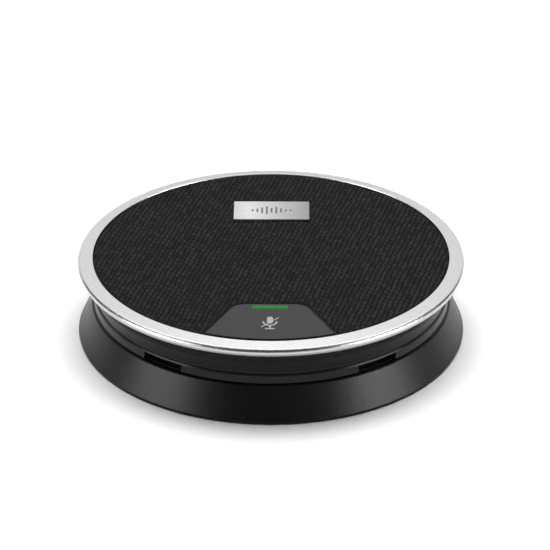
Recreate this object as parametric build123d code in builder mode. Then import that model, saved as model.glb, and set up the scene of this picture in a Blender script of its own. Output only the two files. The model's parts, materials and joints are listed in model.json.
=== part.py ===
from build123d import *
import os
from math import cos, radians, sin, sqrt

os.makedirs("parts", exist_ok=True)

# A round conference speakerphone. Millimetres, +Z up, the origin at the middle of the footprint on
# the table. The mute key is at the front, towards -Y, and the cable socket at the rear, towards +Y.

# ---------------------------------------------------------------- driving dimensions
base_radius = 60.4  # flared base, at its bottom edge before rounding
ring_radius = 60.4  # metal ring, at its outer crease before rounding
band_radius = 55.3  # band round the foot of the neck
waist_radius = 54.75  # narrowest part of the neck
fabric_radius = 55.1
crown_top = 26.7  # top of the fabric, in the middle
crown_drop = 0.65  # how far the crown falls towards the edge of the fabric
foot_height = 0.6  # daylight under the base
key_travel = 0.4
spot_count = 5  # screws, posts, slots and microphones each come in fives
front = -90  # polar angle of the front, in degrees

# ---------------------------------------------------------------- levels and fits
cover_top = 2.0
ballast_top = 3.8
board_bottom = 5.7
board_top = 6.9
socket_level = 6.3  # middle of the cable socket
deck_bottom = 9.4  # the base's inner deck, which carries the neck
deck_top = 11.15
deck_fall = 0.05  # of the deck outside the neck, towards the rim
neck_seat_radius = 54.2  # where the neck stands on the deck
band_bottom = 11.5
band_top = 13.8
bevel_top = 14.3  # of the bevel along the band
flange_top = 12.55  # the neck's inner flange
waist_level = 14.45
chassis_bottom = 20.2
chassis_top = 21.6
neck_top = 22.7
skin = 0.6  # fabric thickness
grille_thickness = 1.0
screw_gap = 0.02  # round a screw's shank
sliding_gap = 0.05  # round a part that slides in a guide
shank_room = 0.15  # round a shank in a plate that it passes through
head_room = 0.1  # round a screw head in its seat

boss_circle = 46.5  # screw bosses and posts stand on this radius
boss_radius = 3.0
post_radius = 2.6
microphone_circle = 49.0
board_radius = 40.0
board_post_offset = 24.0  # board posts stand at plus and minus this in X and Y
pitch_angle = 360 / spot_count
dome_radius = (fabric_radius**2 + crown_drop**2) / (2 * crown_drop)  # the crown is part of a sphere


def polar_spots(radius, start, count=spot_count):
    """Points evenly spaced on a circle, the first at the start angle."""
    angles = [radians(start + 360 / count * step) for step in range(count)]
    return [(radius * cos(a), radius * sin(a)) for a in angles]


def crown(radius, below=0.0):
    """Height of the domed top at a radius, or of a surface that lies below it."""
    return crown_top - dome_radius + sqrt(dome_radius**2 - radius**2) - below


boss_spots = polar_spots(boss_circle, front)
post_spots = polar_spots(boss_circle, front + pitch_angle / 2)
microphone_spots = polar_spots(microphone_circle, front + pitch_angle / 2)
board_spots = [(x * board_post_offset, y * board_post_offset) for x in (-1, 1) for y in (-1, 1)]


# ---------------------------------------------------------------- shared shapes
def outline(*points):
    """A straight-sided face in the sketch that is open."""
    with BuildLine() as loop:
        Polyline(*points, close=True)
    make_face(loop.edges())


def cylinders(spots, radius, bottom, top, mode=Mode.ADD):
    """Upright cylinders in the part that is open."""
    with BuildSketch(Plane.XY.offset(bottom)) as plan:
        with Locations(*spots):
            Circle(radius)
    extrude(plan.sketch, amount=top - bottom, mode=mode)


def washer(inner, outer, bottom, top, mode=Mode.ADD):
    """An upright tube round the Z axis."""
    with BuildSketch(Plane.XY.offset(bottom)) as plan:
        Circle(outer)
        Circle(inner, mode=Mode.SUBTRACT)
    extrude(plan.sketch, amount=top - bottom, mode=mode)


def blocks(spots, length, width, bottom, top, mode=Mode.ADD):
    """Upright boxes, length along X and width along Y."""
    with BuildSketch(Plane.XY.offset(bottom)) as plan:
        with Locations(*spots):
            Rectangle(length, width)
    extrude(plan.sketch, amount=top - bottom, mode=mode)


def round_rim(builder, radius, height, edge_radius):
    """Rounds a circular edge of the part that is open, found by its radius and height."""
    rims = builder.edges().filter_by(GeomType.CIRCLE)
    nearest = rims.sort_by(lambda rim: abs(rim.radius - radius) + abs(rim.arc_center.Z - height))[0]
    fillet(nearest, radius=edge_radius)


def ring_sector(inner, outer, middle, width):
    """A piece of a flat ring, about the polar angle named middle."""
    with BuildLine() as loop:
        far = CenterArc((0, 0), outer, middle - width / 2, width)
        near = CenterArc((0, 0), inner, middle - width / 2, width)
        Line(far @ 0, near @ 0)
        Line(far @ 1, near @ 1)
    make_face(loop.edges())


def dome_section(radius, below, thickness):
    """Half section of a domed disc whose top lies below the crown."""
    with BuildLine() as loop:
        upper = ThreePointArc(
            (0, crown(0, below)),
            (radius / 2, crown(radius / 2, below)),
            (radius, crown(radius, below)),
        )
        lower = ThreePointArc(
            (0, crown(0, below + thickness)),
            (radius / 2, crown(radius / 2, below + thickness)),
            (radius, crown(radius, below + thickness)),
        )
        Line(upper @ 0, lower @ 0)
        Line(upper @ 1, lower @ 1)
    make_face(loop.edges())


def trim_to_crown(below):
    """Cuts the open part off along the domed top, or along a surface below it."""
    reach = fabric_radius + 2
    with BuildSketch(Plane.XZ) as section:
        dome_section(reach, below, crown_top)
    revolve(section.sketch, axis=Axis.Z, mode=Mode.INTERSECT)


def screws(spots, shank_radius, tip, seat, head_radius, head_height):
    """Pan-head screws that point along Z from the seat towards the tip, with a cross recess."""
    away = 1 if seat > tip else -1
    top = seat + away * head_height
    recess_depth = 0.45 * head_height
    recess_length = 1.2 * head_radius
    recess_width = 0.3 * head_radius
    cylinders(spots, shank_radius, min(tip, seat), max(tip, seat))
    cylinders(spots, head_radius, min(seat, top), max(seat, top))
    floor = top - away * recess_depth
    low, high = min(floor, top), max(floor, top)
    blocks(spots, recess_length, recess_width, low, high, mode=Mode.SUBTRACT)
    blocks(spots, recess_width, recess_length, low, high, mode=Mode.SUBTRACT)


# ---------------------------------------------------------------- base
base_top_radius = 55.7
base_wall = 2.2  # measured along the radius
base_low_edge = 0.35  # edge radii
base_high_edge = 0.8
deck_inner_radius = 43.0
cover_radius = 57.9
cover_gap = 0.2
screw_hole = 1.0

plug_recess_length = 13.2  # room for a cable plug's moulded body
plug_recess_corner = 1.6
recess_low = 2.9
recess_high = 9.7
recess_floor = 52.2  # how far from the axis the socket's mouth is
past_wall = 12.0  # from the recess's floor to well outside the base
tunnel_wall = 1.2
socket_length = 8.94
socket_height = 3.16
socket_depth = 7.3
socket_gap = 0.1


def flare(height):
    """Radius of the base's outer wall at a height."""
    rise = deck_top - foot_height
    return base_radius + (base_top_radius - base_radius) * (height - foot_height) / rise


with BuildPart() as base_cavity:
    with BuildSketch(Plane.XZ):
        outline(
            (0, 0),
            (cover_radius + cover_gap, 0),
            (cover_radius + cover_gap, cover_top),
            (flare(cover_top) - base_wall, cover_top),
            (flare(deck_bottom) - base_wall, deck_bottom),
            (deck_inner_radius, deck_bottom),
            (deck_inner_radius, deck_top + 1),
            (0, deck_top + 1),
        )
    revolve(axis=Axis.Z)
    # the tunnel to the cable socket keeps its walls
    with BuildSketch(Plane.XZ.offset(-(recess_floor - tunnel_wall))):
        with Locations((0, (cover_top + deck_bottom) / 2)):
            Rectangle(plug_recess_length + 2 * tunnel_wall, deck_bottom - cover_top)
    extrude(amount=-past_wall, mode=Mode.SUBTRACT)

with BuildPart() as base_shell:
    with BuildSketch(Plane.XZ):
        outline(
            (0, foot_height),
            (base_radius, foot_height),
            (base_top_radius, deck_top - deck_fall),
            (neck_seat_radius, deck_top),
            (0, deck_top),
        )
    revolve(axis=Axis.Z)
    round_rim(base_shell, base_radius, foot_height, base_low_edge)
    round_rim(base_shell, base_top_radius, deck_top - deck_fall, base_high_edge)
    add(base_cavity.part, mode=Mode.SUBTRACT)
    cylinders(boss_spots, boss_radius, cover_top, deck_bottom)
    cylinders(boss_spots, screw_hole, cover_top - 1, deck_top + 1, mode=Mode.SUBTRACT)
    with BuildSketch(Plane.XZ.offset(-recess_floor)):
        with Locations((0, (recess_low + recess_high) / 2)):
            RectangleRounded(plug_recess_length, recess_high - recess_low, plug_recess_corner)
    extrude(amount=-past_wall, mode=Mode.SUBTRACT)
    with BuildSketch(Plane.XZ.offset(-(recess_floor - 2 * tunnel_wall))):
        with Locations((0, socket_level)):
            SlotOverall(socket_length + 2 * socket_gap, socket_height + 2 * socket_gap)
    extrude(amount=-3 * tunnel_wall, mode=Mode.SUBTRACT)
base_shell.part.label = "base_shell"
export_step(base_shell.part, "parts/base_shell.step")

# ---------------------------------------------------------------- underside
foot_inner_radius = 51.6
foot_outer_radius = 55.9
groove_top = 1.3
foot_gap = 0.1
foot_edge = 0.3
cover_head_radius = 2.0
cover_head_height = 0.9
cover_head_seat = 1.6
cover_screw_tip = 6.9
label_length = 34.0
label_width = 18.0
label_depth = 0.2
board_post_radius = 2.5
board_screw_hole = 0.8

with BuildPart() as bottom_cover:
    cylinders([(0, 0)], cover_radius, foot_height, cover_top)
    washer(
        foot_inner_radius - foot_gap,
        foot_outer_radius + foot_gap,
        foot_height,
        groove_top,
        mode=Mode.SUBTRACT,
    )
    head_hole = cover_head_radius + 2 * head_room
    cylinders(boss_spots, head_hole, foot_height, cover_head_seat, mode=Mode.SUBTRACT)
    cylinders(boss_spots, screw_hole + shank_room, foot_height, cover_top, mode=Mode.SUBTRACT)
    # shallow recess for a rating label
    label_top = foot_height + label_depth
    blocks([(0, 0)], label_length, label_width, foot_height, label_top, mode=Mode.SUBTRACT)
    cylinders(board_spots, board_post_radius, cover_top, board_bottom)
    cylinders(board_spots, board_screw_hole, cover_top + 0.5, board_bottom, mode=Mode.SUBTRACT)
bottom_cover.part.label = "bottom_cover"
export_step(bottom_cover.part, "parts/bottom_cover.step")

with BuildPart() as foot_ring:
    washer(foot_inner_radius, foot_outer_radius, 0, groove_top)
    round_rim(foot_ring, foot_inner_radius, 0, foot_edge)
    round_rim(foot_ring, foot_outer_radius, 0, foot_edge)
foot_ring.part.label = "foot_ring"
export_step(foot_ring.part, "parts/foot_ring.step")

with BuildPart() as cover_screws:
    screws(
        boss_spots,
        screw_hole - screw_gap,
        tip=cover_screw_tip,
        seat=cover_head_seat,
        head_radius=cover_head_radius,
        head_height=cover_head_height,
    )
cover_screws.part.label = "cover_screws"
export_step(cover_screws.part, "parts/cover_screws.step")

ballast_inner_radius = 5.0
ballast_outer_radius = 38.0

with BuildPart() as ballast_plate:
    washer(ballast_inner_radius, ballast_outer_radius, cover_top, ballast_top)
    cylinders(board_spots, board_post_radius + 0.5, cover_top, ballast_top, mode=Mode.SUBTRACT)
ballast_plate.part.label = "ballast_plate"
export_step(ballast_plate.part, "parts/ballast_plate.step")

# ---------------------------------------------------------------- main board
tongue_width = 18.0
tongue_end = 50.6
socket_back = recess_floor - socket_depth
board_head_radius = 1.9
board_head_height = 1.2
board_screw_tip = 3.0
chip_bevel = 0.2
processor_spot = (-22, 10)
processor_side = 10.0
processor_top = 7.9
amplifier_spot = (24, 8)
amplifier_side = 6.0
amplifier_top = 7.8
can_spots = [(30, -6), (31, 2), (-32, -4)]
can_radius = 3.15
can_top = 13.9
can_edge = 0.5
connector_top = 9.1
wire_connector_y = 33.0
flex_connector_y = -37.5

with BuildPart() as main_board:
    cylinders([(0, 0)], board_radius, board_bottom, board_top)
    tongue_length = tongue_end - board_radius / 2
    tongue_middle = tongue_end - tongue_length / 2
    blocks([(0, tongue_middle)], tongue_width, tongue_length, board_bottom, board_top)
    notch_middle = socket_back - socket_gap + socket_depth / 2
    blocks(
        [(0, notch_middle)],
        socket_length + 2 * socket_gap,
        socket_depth,
        board_bottom,
        board_top,
        mode=Mode.SUBTRACT,
    )
    board_hole = board_screw_hole + shank_room
    cylinders(board_spots, board_hole, board_bottom, board_top, mode=Mode.SUBTRACT)
main_board.part.label = "main_board"
export_step(main_board.part, "parts/main_board.step")

with BuildPart() as board_screws:
    screws(
        board_spots,
        board_screw_hole - screw_gap,
        tip=board_screw_tip,
        seat=board_top,
        head_radius=board_head_radius,
        head_height=board_head_height,
    )
board_screws.part.label = "board_screws"
export_step(board_screws.part, "parts/board_screws.step")

with BuildPart() as processor_chip:
    blocks([processor_spot], processor_side, processor_side, board_top, processor_top)
    chamfer(processor_chip.edges().group_by(Axis.Z)[-1], length=chip_bevel)
processor_chip.part.label = "processor_chip"
export_step(processor_chip.part, "parts/processor_chip.step")

with BuildPart() as amplifier_chip:
    blocks([amplifier_spot], amplifier_side, amplifier_side, board_top, amplifier_top)
    chamfer(amplifier_chip.edges().group_by(Axis.Z)[-1], length=chip_bevel)
amplifier_chip.part.label = "amplifier_chip"
export_step(amplifier_chip.part, "parts/amplifier_chip.step")

with BuildPart() as board_capacitors:
    cylinders(can_spots, can_radius, board_top, can_top)
    fillet(board_capacitors.edges().group_by(Axis.Z)[-1], radius=can_edge)
board_capacitors.part.label = "board_capacitors"
export_step(board_capacitors.part, "parts/board_capacitors.step")

with BuildPart() as speaker_connector:
    blocks([(0, wire_connector_y)], 6.0, 4.0, board_top, connector_top)
speaker_connector.part.label = "speaker_connector"
export_step(speaker_connector.part, "parts/speaker_connector.step")

with BuildPart() as flex_connector:
    blocks([(0, flex_connector_y)], 10.0, 3.0, board_top, connector_top)
flex_connector.part.label = "flex_connector"
export_step(flex_connector.part, "parts/flex_connector.step")

# ---------------------------------------------------------------- cable socket
socket_wall = 0.3
contact_length = 6.69
contact_height = 0.7
contact_base = 1.8
contact_setback = 0.5  # behind the socket's mouth
ear_spots = [(-5.0, socket_back + 2.5), (5.0, socket_back + 2.5)]
ear_length = 1.4
ear_width = 2.0
ear_top = 7.2

with BuildPart() as usb_socket:
    with BuildSketch(Plane.XZ.offset(-socket_back)):
        with Locations((0, socket_level)):
            SlotOverall(socket_length, socket_height)
    extrude(amount=-socket_depth)
    with BuildSketch(Plane.XZ.offset(-(socket_back + socket_wall))):
        with Locations((0, socket_level)):
            SlotOverall(socket_length - 2 * socket_wall, socket_height - 2 * socket_wall)
    extrude(amount=-socket_depth, mode=Mode.SUBTRACT)
    # the shell's solder ears rest on the board
    blocks(ear_spots, ear_length, ear_width, board_top, ear_top)
usb_socket.part.label = "usb_socket"
export_step(usb_socket.part, "parts/usb_socket.step")

with BuildPart() as usb_contact_tongue:
    inner_length = socket_length - 2 * socket_wall - 2 * screw_gap
    inner_height = socket_height - 2 * socket_wall - 2 * screw_gap
    with BuildSketch(Plane.XZ.offset(-(socket_back + socket_wall))):
        with Locations((0, socket_level)):
            SlotOverall(inner_length, inner_height)
    extrude(amount=-contact_base)
    with BuildSketch(Plane.XZ.offset(-(socket_back + socket_wall + contact_base))):
        with Locations((0, socket_level)):
            Rectangle(contact_length, contact_height)
    extrude(amount=-(socket_depth - socket_wall - contact_base - contact_setback))
usb_contact_tongue.part.label = "usb_contact_tongue"
export_step(usb_contact_tongue.part, "parts/usb_contact_tongue.step")

# ---------------------------------------------------------------- neck
neck_top_radius = 58.3
neck_bore = 52.4
neck_bore_top = 16.5
neck_mouth = 54.3  # bore at the top, round the chassis
neck_mouth_bottom = 19.0
waist_curve = 11.6  # radius of the hollow outer wall
band_draft = 0.1
band_bevel = 0.3  # how far the bevel's upper edge is inside the band
slot_width = 14.6  # degrees
neck_head_height = 1.2
neck_screw_tip = 7.6
post_hole_depth = 6.0

with BuildPart() as neck_shell:
    with BuildSketch(Plane.XZ):
        with BuildLine():
            RadiusArc(
                (waist_radius, waist_level),
                (neck_top_radius, neck_top),
                radius=waist_curve,
            )
            Polyline(
                (waist_radius, waist_level),
                (band_radius - band_bevel, bevel_top),
                (band_radius - band_draft, band_top),
                (band_radius, band_bottom),
                (neck_seat_radius, band_bottom),
                (neck_seat_radius, deck_top),
                (deck_inner_radius + 0.5, deck_top),
                (deck_inner_radius + 0.5, flange_top),
                (neck_bore, flange_top),
                (neck_bore, neck_bore_top),
                (neck_mouth, neck_mouth_bottom),
                (neck_mouth, neck_top),
                (neck_top_radius, neck_top),
            )
        make_face()
    revolve(axis=Axis.Z)
    with BuildSketch(Plane.XY.offset(band_bottom)):
        for step in range(spot_count):
            middle = front + pitch_angle * (step + 0.5)
            ring_sector(neck_bore - 0.1, band_radius + 1, middle, slot_width)
    extrude(amount=band_top - band_bottom, mode=Mode.SUBTRACT)
    cylinders(post_spots, post_radius, flange_top, chassis_bottom)
    post_hole_bottom = chassis_bottom - post_hole_depth
    cylinders(post_spots, board_screw_hole, post_hole_bottom, chassis_bottom, mode=Mode.SUBTRACT)
    cylinders(boss_spots, screw_hole + shank_room, deck_top, flange_top, mode=Mode.SUBTRACT)
neck_shell.part.label = "neck_shell"
export_step(neck_shell.part, "parts/neck_shell.step")

with BuildPart() as neck_screws:
    screws(
        boss_spots,
        screw_hole - screw_gap,
        tip=neck_screw_tip,
        seat=flange_top,
        head_radius=cover_head_radius,
        head_height=neck_head_height,
    )
neck_screws.part.label = "neck_screws"
export_step(neck_screws.part, "parts/neck_screws.step")

mesh_thickness = 0.35
mesh_gap = 0.05
mesh_height = 2.2

with BuildPart() as vent_mesh:
    mesh_radius = neck_bore - mesh_gap
    washer(mesh_radius - mesh_thickness, mesh_radius, flange_top, flange_top + mesh_height)
vent_mesh.part.label = "vent_mesh"
export_step(vent_mesh.part, "parts/vent_mesh.step")

# ---------------------------------------------------------------- trim ring
ring_inner_radius = 55.2
ring_crease = 25.15  # height of the outer crease before rounding
ring_low = 23.0
ring_low_radius = 59.4
ring_seat_radius = 58.4
ring_roll = 1.1  # of the outer crease
ring_inner_edge = 0.25
ring_low_edge = 0.3
ring_proud = 0.05  # above the crown at its inner edge

with BuildPart() as trim_ring:
    ring_top = crown(ring_inner_radius) + ring_proud
    with BuildSketch(Plane.XZ):
        outline(
            (ring_inner_radius, neck_top),
            (ring_seat_radius, neck_top),
            (ring_low_radius, ring_low),
            (ring_radius, ring_crease),
            (ring_inner_radius, ring_top),
        )
    revolve(axis=Axis.Z)
    round_rim(trim_ring, ring_radius, ring_crease, ring_roll)
    round_rim(trim_ring, ring_inner_radius, ring_top, ring_inner_edge)
    round_rim(trim_ring, ring_low_radius, ring_low, ring_low_edge)
trim_ring.part.label = "trim_ring"
export_step(trim_ring.part, "parts/trim_ring.step")

# ---------------------------------------------------------------- key plan, shared by key, board and top
key_inner_y = -33.2
key_inner_half = 10.4
key_plan_length = 24.0  # well past the ring, before it is cut to its outer radius
key_spread = 0.513  # how much the half width grows for each millimetre towards the ring
key_edge_radius = 54.0
key_corner = 5.0
key_gap = 0.5  # round the key, at the fabric and the grille plate
guide_spots = [(-11, -44), (11, -44)]
switch_spot = (0, -44)
light_y = -35.1
light_length = 10.8
light_width = 1.7
past_key = 60.0  # a radius outside the whole key

with BuildSketch() as key_plan:
    far_y = key_inner_y - key_plan_length
    far_half = key_inner_half + key_spread * key_plan_length
    outline(
        (-key_inner_half, key_inner_y),
        (key_inner_half, key_inner_y),
        (far_half, far_y),
        (-far_half, far_y),
    )
    fillet(key_plan.vertices().group_by(Axis.Y)[-1], radius=key_corner)
    Circle(key_edge_radius, mode=Mode.INTERSECT)


def key_shape(grow, reach, bottom, top, mode=Mode.ADD):
    """A prism on the key's plan, grown all round and cut off at a radius."""
    with BuildSketch(Plane.XY.offset(bottom)) as plan:
        add(key_plan.sketch)
        if grow:
            offset(amount=grow, kind=Kind.ARC)
        Circle(reach, mode=Mode.INTERSECT)
    extrude(plan.sketch, amount=top - bottom, mode=mode)


# ---------------------------------------------------------------- chassis
chassis_radius = 54.0
speaker_bore = 24.6
collar_radius = 31.5
collar_bottom = 18.6
speaker_seat = 20.6
speaker_flange_radius = 29.5
seat_gap = 0.3
speaker_screw_spots = polar_spots(27.6, 45, 4)
speaker_screw_hole = 0.7
guide_bore = 1.25
guide_radius = 2.4
guide_top = 23.0
flex_slot_y = -49.0
flex_slot_length = 10.0
flex_slot_width = 1.2
chassis_head_radius = 1.9
chassis_head_seat = 20.7
chassis_head_height = 0.8
chassis_screw_tip = 15.2

with BuildPart() as chassis_plate:
    cylinders([(0, 0)], chassis_radius, chassis_bottom, chassis_top)
    cylinders([(0, 0)], collar_radius, collar_bottom, chassis_bottom)
    cylinders([(0, 0)], speaker_bore, collar_bottom, chassis_top, mode=Mode.SUBTRACT)
    seat_radius = speaker_flange_radius + seat_gap
    cylinders([(0, 0)], seat_radius, speaker_seat, chassis_top, mode=Mode.SUBTRACT)
    cylinders(speaker_screw_spots, speaker_screw_hole, collar_bottom, speaker_seat, mode=Mode.SUBTRACT)
    post_hole = board_screw_hole + shank_room
    cylinders(post_spots, post_hole, chassis_bottom, chassis_top, mode=Mode.SUBTRACT)
    head_hole = chassis_head_radius + head_room
    cylinders(post_spots, head_hole, chassis_head_seat, chassis_top, mode=Mode.SUBTRACT)
    flex_slot = [(0, flex_slot_y)]
    blocks(
        flex_slot,
        flex_slot_length,
        flex_slot_width,
        chassis_bottom,
        chassis_top,
        mode=Mode.SUBTRACT,
    )
    cylinders(guide_spots, guide_radius, chassis_top, guide_top)
    cylinders(guide_spots, guide_bore, chassis_top, guide_top, mode=Mode.SUBTRACT)
chassis_plate.part.label = "chassis_plate"
export_step(chassis_plate.part, "parts/chassis_plate.step")

with BuildPart() as chassis_screws:
    screws(
        post_spots,
        board_screw_hole - screw_gap,
        tip=chassis_screw_tip,
        seat=chassis_head_seat,
        head_radius=chassis_head_radius,
        head_height=chassis_head_height,
    )
chassis_screws.part.label = "chassis_screws"
export_step(chassis_screws.part, "parts/chassis_screws.step")

# ---------------------------------------------------------------- loudspeaker, fixed pieces
yoke_bottom = 8.2
yoke_radius = 16.0
yoke_bevel = 0.5
magnet_bottom = 9.6
magnet_inner_radius = 10.5
magnet_outer_radius = 17.0
magnet_bevel = 0.3
plate_bottom = 13.0
plate_top = 14.4
plate_radius = 16.4
pole_radius = 8.05
gap_radius = 9.35
cone_edge_radius = 19.6

with BuildPart() as speaker_yoke:
    cylinders([(0, 0)], yoke_radius, yoke_bottom, magnet_bottom)
    chamfer(speaker_yoke.edges().group_by(Axis.Z)[0], length=yoke_bevel)
    cylinders([(0, 0)], pole_radius, magnet_bottom, plate_top)
speaker_yoke.part.label = "speaker_yoke"
export_step(speaker_yoke.part, "parts/speaker_yoke.step")

with BuildPart() as speaker_magnet:
    washer(magnet_inner_radius, magnet_outer_radius, magnet_bottom, plate_bottom)
    chamfer(speaker_magnet.edges().filter_by(GeomType.CIRCLE), length=magnet_bevel)
speaker_magnet.part.label = "speaker_magnet"
export_step(speaker_magnet.part, "parts/speaker_magnet.step")

with BuildPart() as speaker_top_plate:
    washer(gap_radius, plate_radius, plate_bottom, plate_top)
speaker_top_plate.part.label = "speaker_top_plate"
export_step(speaker_top_plate.part, "parts/speaker_top_plate.step")

basket_bore = 9.8
basket_floor_radius = 18.4  # outside
basket_floor_top = 15.4
basket_step_radius = 15.6  # the step that the spider is glued to
basket_step_top = 16.0
basket_wall_foot = 17.6  # inside
basket_wall_head = 23.2
basket_wall_head_outside = 24.4
window_bottom = 16.4
window_height = 3.4
window_inner_radius = 16.0
window_outer_radius = 25.0
window_width = 50  # degrees
window_angles = [45, 135, 225, 315]

with BuildPart() as speaker_basket:
    with BuildSketch(Plane.XZ):
        outline(
            (basket_bore, plate_top),
            (basket_floor_radius, plate_top),
            (basket_wall_head_outside, speaker_seat),
            (speaker_flange_radius, speaker_seat),
            (speaker_flange_radius, chassis_top),
            (basket_wall_head, chassis_top),
            (basket_wall_foot, basket_step_top),
            (basket_step_radius, basket_step_top),
            (basket_step_radius, basket_floor_top),
            (basket_bore, basket_floor_top),
        )
    revolve(axis=Axis.Z)
    with BuildSketch(Plane.XY.offset(window_bottom)):
        for angle in window_angles:
            ring_sector(window_inner_radius, window_outer_radius, angle, window_width)
    extrude(amount=window_height, mode=Mode.SUBTRACT)
    flange_hole = speaker_screw_hole + shank_room
    cylinders(speaker_screw_spots, flange_hole, speaker_seat, chassis_top, mode=Mode.SUBTRACT)
speaker_basket.part.label = "speaker_basket"
export_step(speaker_basket.part, "parts/speaker_basket.step")

speaker_head_radius = 1.4
speaker_head_height = 0.9
speaker_screw_tip = 18.7

with BuildPart() as speaker_screws:
    screws(
        speaker_screw_spots,
        speaker_screw_hole - screw_gap,
        tip=speaker_screw_tip,
        seat=chassis_top,
        head_radius=speaker_head_radius,
        head_height=speaker_head_height,
    )
speaker_screws.part.label = "speaker_screws"
export_step(speaker_screws.part, "parts/speaker_screws.step")

roll_sheet = 0.35  # thickness of the surround
roll_rise = 1.5
roll_lap = 1.0  # how far it is glued over the cone
gasket_inner_radius = 24.0
gasket_outer_radius = 25.6
gasket_bottom = 22.0

with BuildPart() as speaker_surround:
    with BuildSketch(Plane.XZ):
        with BuildLine():
            roll_middle = (cone_edge_radius + basket_wall_head) / 2
            under = ThreePointArc(
                (cone_edge_radius, chassis_top),
                (roll_middle, chassis_top + roll_rise - roll_sheet),
                (basket_wall_head, chassis_top),
            )
            over = ThreePointArc(
                (cone_edge_radius - roll_sheet, chassis_top + roll_sheet),
                (roll_middle, chassis_top + roll_rise),
                (basket_wall_head + roll_sheet, chassis_top + roll_sheet),
            )
            Polyline(
                under @ 0,
                (cone_edge_radius - roll_lap, chassis_top),
                (cone_edge_radius - roll_lap, chassis_top + roll_sheet),
                over @ 0,
            )
            Polyline(
                under @ 1,
                (gasket_outer_radius, chassis_top),
                (gasket_outer_radius, chassis_top + roll_sheet),
                over @ 1,
            )
        make_face()
    revolve(axis=Axis.Z)
speaker_surround.part.label = "speaker_surround"
export_step(speaker_surround.part, "parts/speaker_surround.step")

spider_cloth = 0.25
spider_level = 16.3
spider_ripple = 0.3
spider_inner_radius = 8.6
spider_outer_radius = 17.2
spider_folds = 8
fold_pitch = (spider_outer_radius - spider_inner_radius) / spider_folds


def spider_height(fold):
    """Top of the spider at a fold: every second fold stands up, but never the two edges."""
    stands = 0 < fold < spider_folds and fold % 2 == 1
    return spider_level + (spider_ripple if stands else 0.0)


with BuildPart() as speaker_spider:
    folds = range(spider_folds + 1)
    upper_side = [(spider_inner_radius + fold_pitch * fold, spider_height(fold)) for fold in folds]
    lower_side = [(x, z - spider_cloth) for x, z in reversed(upper_side)]
    with BuildSketch(Plane.XZ):
        outline(*upper_side, *lower_side)
    revolve(axis=Axis.Z)
speaker_spider.part.label = "speaker_spider"
export_step(speaker_spider.part, "parts/speaker_spider.step")

with BuildPart() as speaker_gasket:
    gasket_top = crown(gasket_outer_radius, skin + grille_thickness)
    washer(gasket_inner_radius, gasket_outer_radius, gasket_bottom, gasket_top)
speaker_gasket.part.label = "speaker_gasket"
export_step(speaker_gasket.part, "parts/speaker_gasket.step")

# the strip lies along the basket's slanted wall, at the rear
strip_y = 21.9
strip_z = 17.2
strip_length = 9.0
strip_width = 3.2
strip_thickness = 0.8
tab_spots = [(-2.5, 0), (2.5, 0)]
tab_length = 2.0
tab_width = 2.4
tab_thickness = 0.3
strip_plane = Plane(origin=(0, strip_y, strip_z), x_dir=(1, 0, 0), z_dir=(0, 1, -1))

with BuildPart() as terminal_strip:
    with BuildSketch(strip_plane):
        Rectangle(strip_length, strip_width)
    extrude(amount=strip_thickness)
terminal_strip.part.label = "terminal_strip"
export_step(terminal_strip.part, "parts/terminal_strip.step")

with BuildPart() as terminal_tabs:
    with BuildSketch(strip_plane.offset(strip_thickness)):
        with Locations(*tab_spots):
            Rectangle(tab_length, tab_width)
    extrude(amount=tab_thickness)
terminal_tabs.part.label = "terminal_tabs"
export_step(terminal_tabs.part, "parts/terminal_tabs.step")

wire_radius = 0.4
wire_bend = 1.6
wire_tail = 3.0  # along Y and down, from the tab to the first bend
wire_spread = 1.5  # from the middle, at the connector
wire_drop = 12.6  # height where the wires turn down to the connector
tab_face = (strip_thickness + tab_thickness) / sqrt(2)  # along Y, and down, from the strip's origin

with BuildPart() as speaker_wires:
    for side in (-1, 1):
        start = (side * tab_spots[1][0], strip_y + tab_face, strip_z - tab_face)
        with BuildLine() as wire_route:
            FilletPolyline(
                start,
                (start[0], start[1] + wire_tail, start[2] - wire_tail),
                (side * wire_spread, wire_connector_y, wire_drop),
                (side * wire_spread, wire_connector_y, connector_top),
                radius=wire_bend,
            )
        with BuildSketch(Plane(origin=wire_route.line @ 0, z_dir=wire_route.line % 0)):
            Circle(wire_radius)
        sweep(path=wire_route.line)
speaker_wires.part.label = "speaker_wires"
export_step(speaker_wires.part, "parts/speaker_wires.step")

# ---------------------------------------------------------------- loudspeaker, moving pieces
former_inner = 8.35
former_outer = 8.55
former_bottom = 10.9
former_top = 17.3
winding_inner = 8.56
winding_outer = 9.05
winding_bottom = 11.9
winding_top = 15.3
cone_neck = 16.9
cone_neck_wall = 0.5  # upright, where the paper meets the former
cone_paper = 0.4
cone_rim = 1.0
cap_radius = 9.6
cap_seat = 18.0
cap_rise = 2.0
cap_shoulder = 1.56  # rise half way out
cap_wall = 0.3

with BuildPart() as coil_former:
    washer(former_inner, former_outer, former_bottom, former_top)
coil_former.part.label = "coil_former"
export_step(coil_former.part, "parts/coil_former.step")

with BuildPart() as coil_winding:
    washer(winding_inner, winding_outer, winding_bottom, winding_top)
coil_winding.part.label = "coil_winding"
export_step(coil_winding.part, "parts/coil_winding.step")

with BuildPart() as speaker_cone:
    neck_radius = former_outer + screw_gap
    with BuildSketch(Plane.XZ):
        outline(
            (neck_radius, cone_neck),
            (cone_edge_radius - cone_rim, chassis_top - cone_paper),
            (cone_edge_radius, chassis_top - cone_paper),
            (cone_edge_radius, chassis_top),
            (cone_edge_radius - cone_rim - cone_paper / 2, chassis_top),
            (neck_radius, cone_neck + cone_neck_wall),
        )
    revolve(axis=Axis.Z)
speaker_cone.part.label = "speaker_cone"
export_step(speaker_cone.part, "parts/speaker_cone.step")

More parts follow.
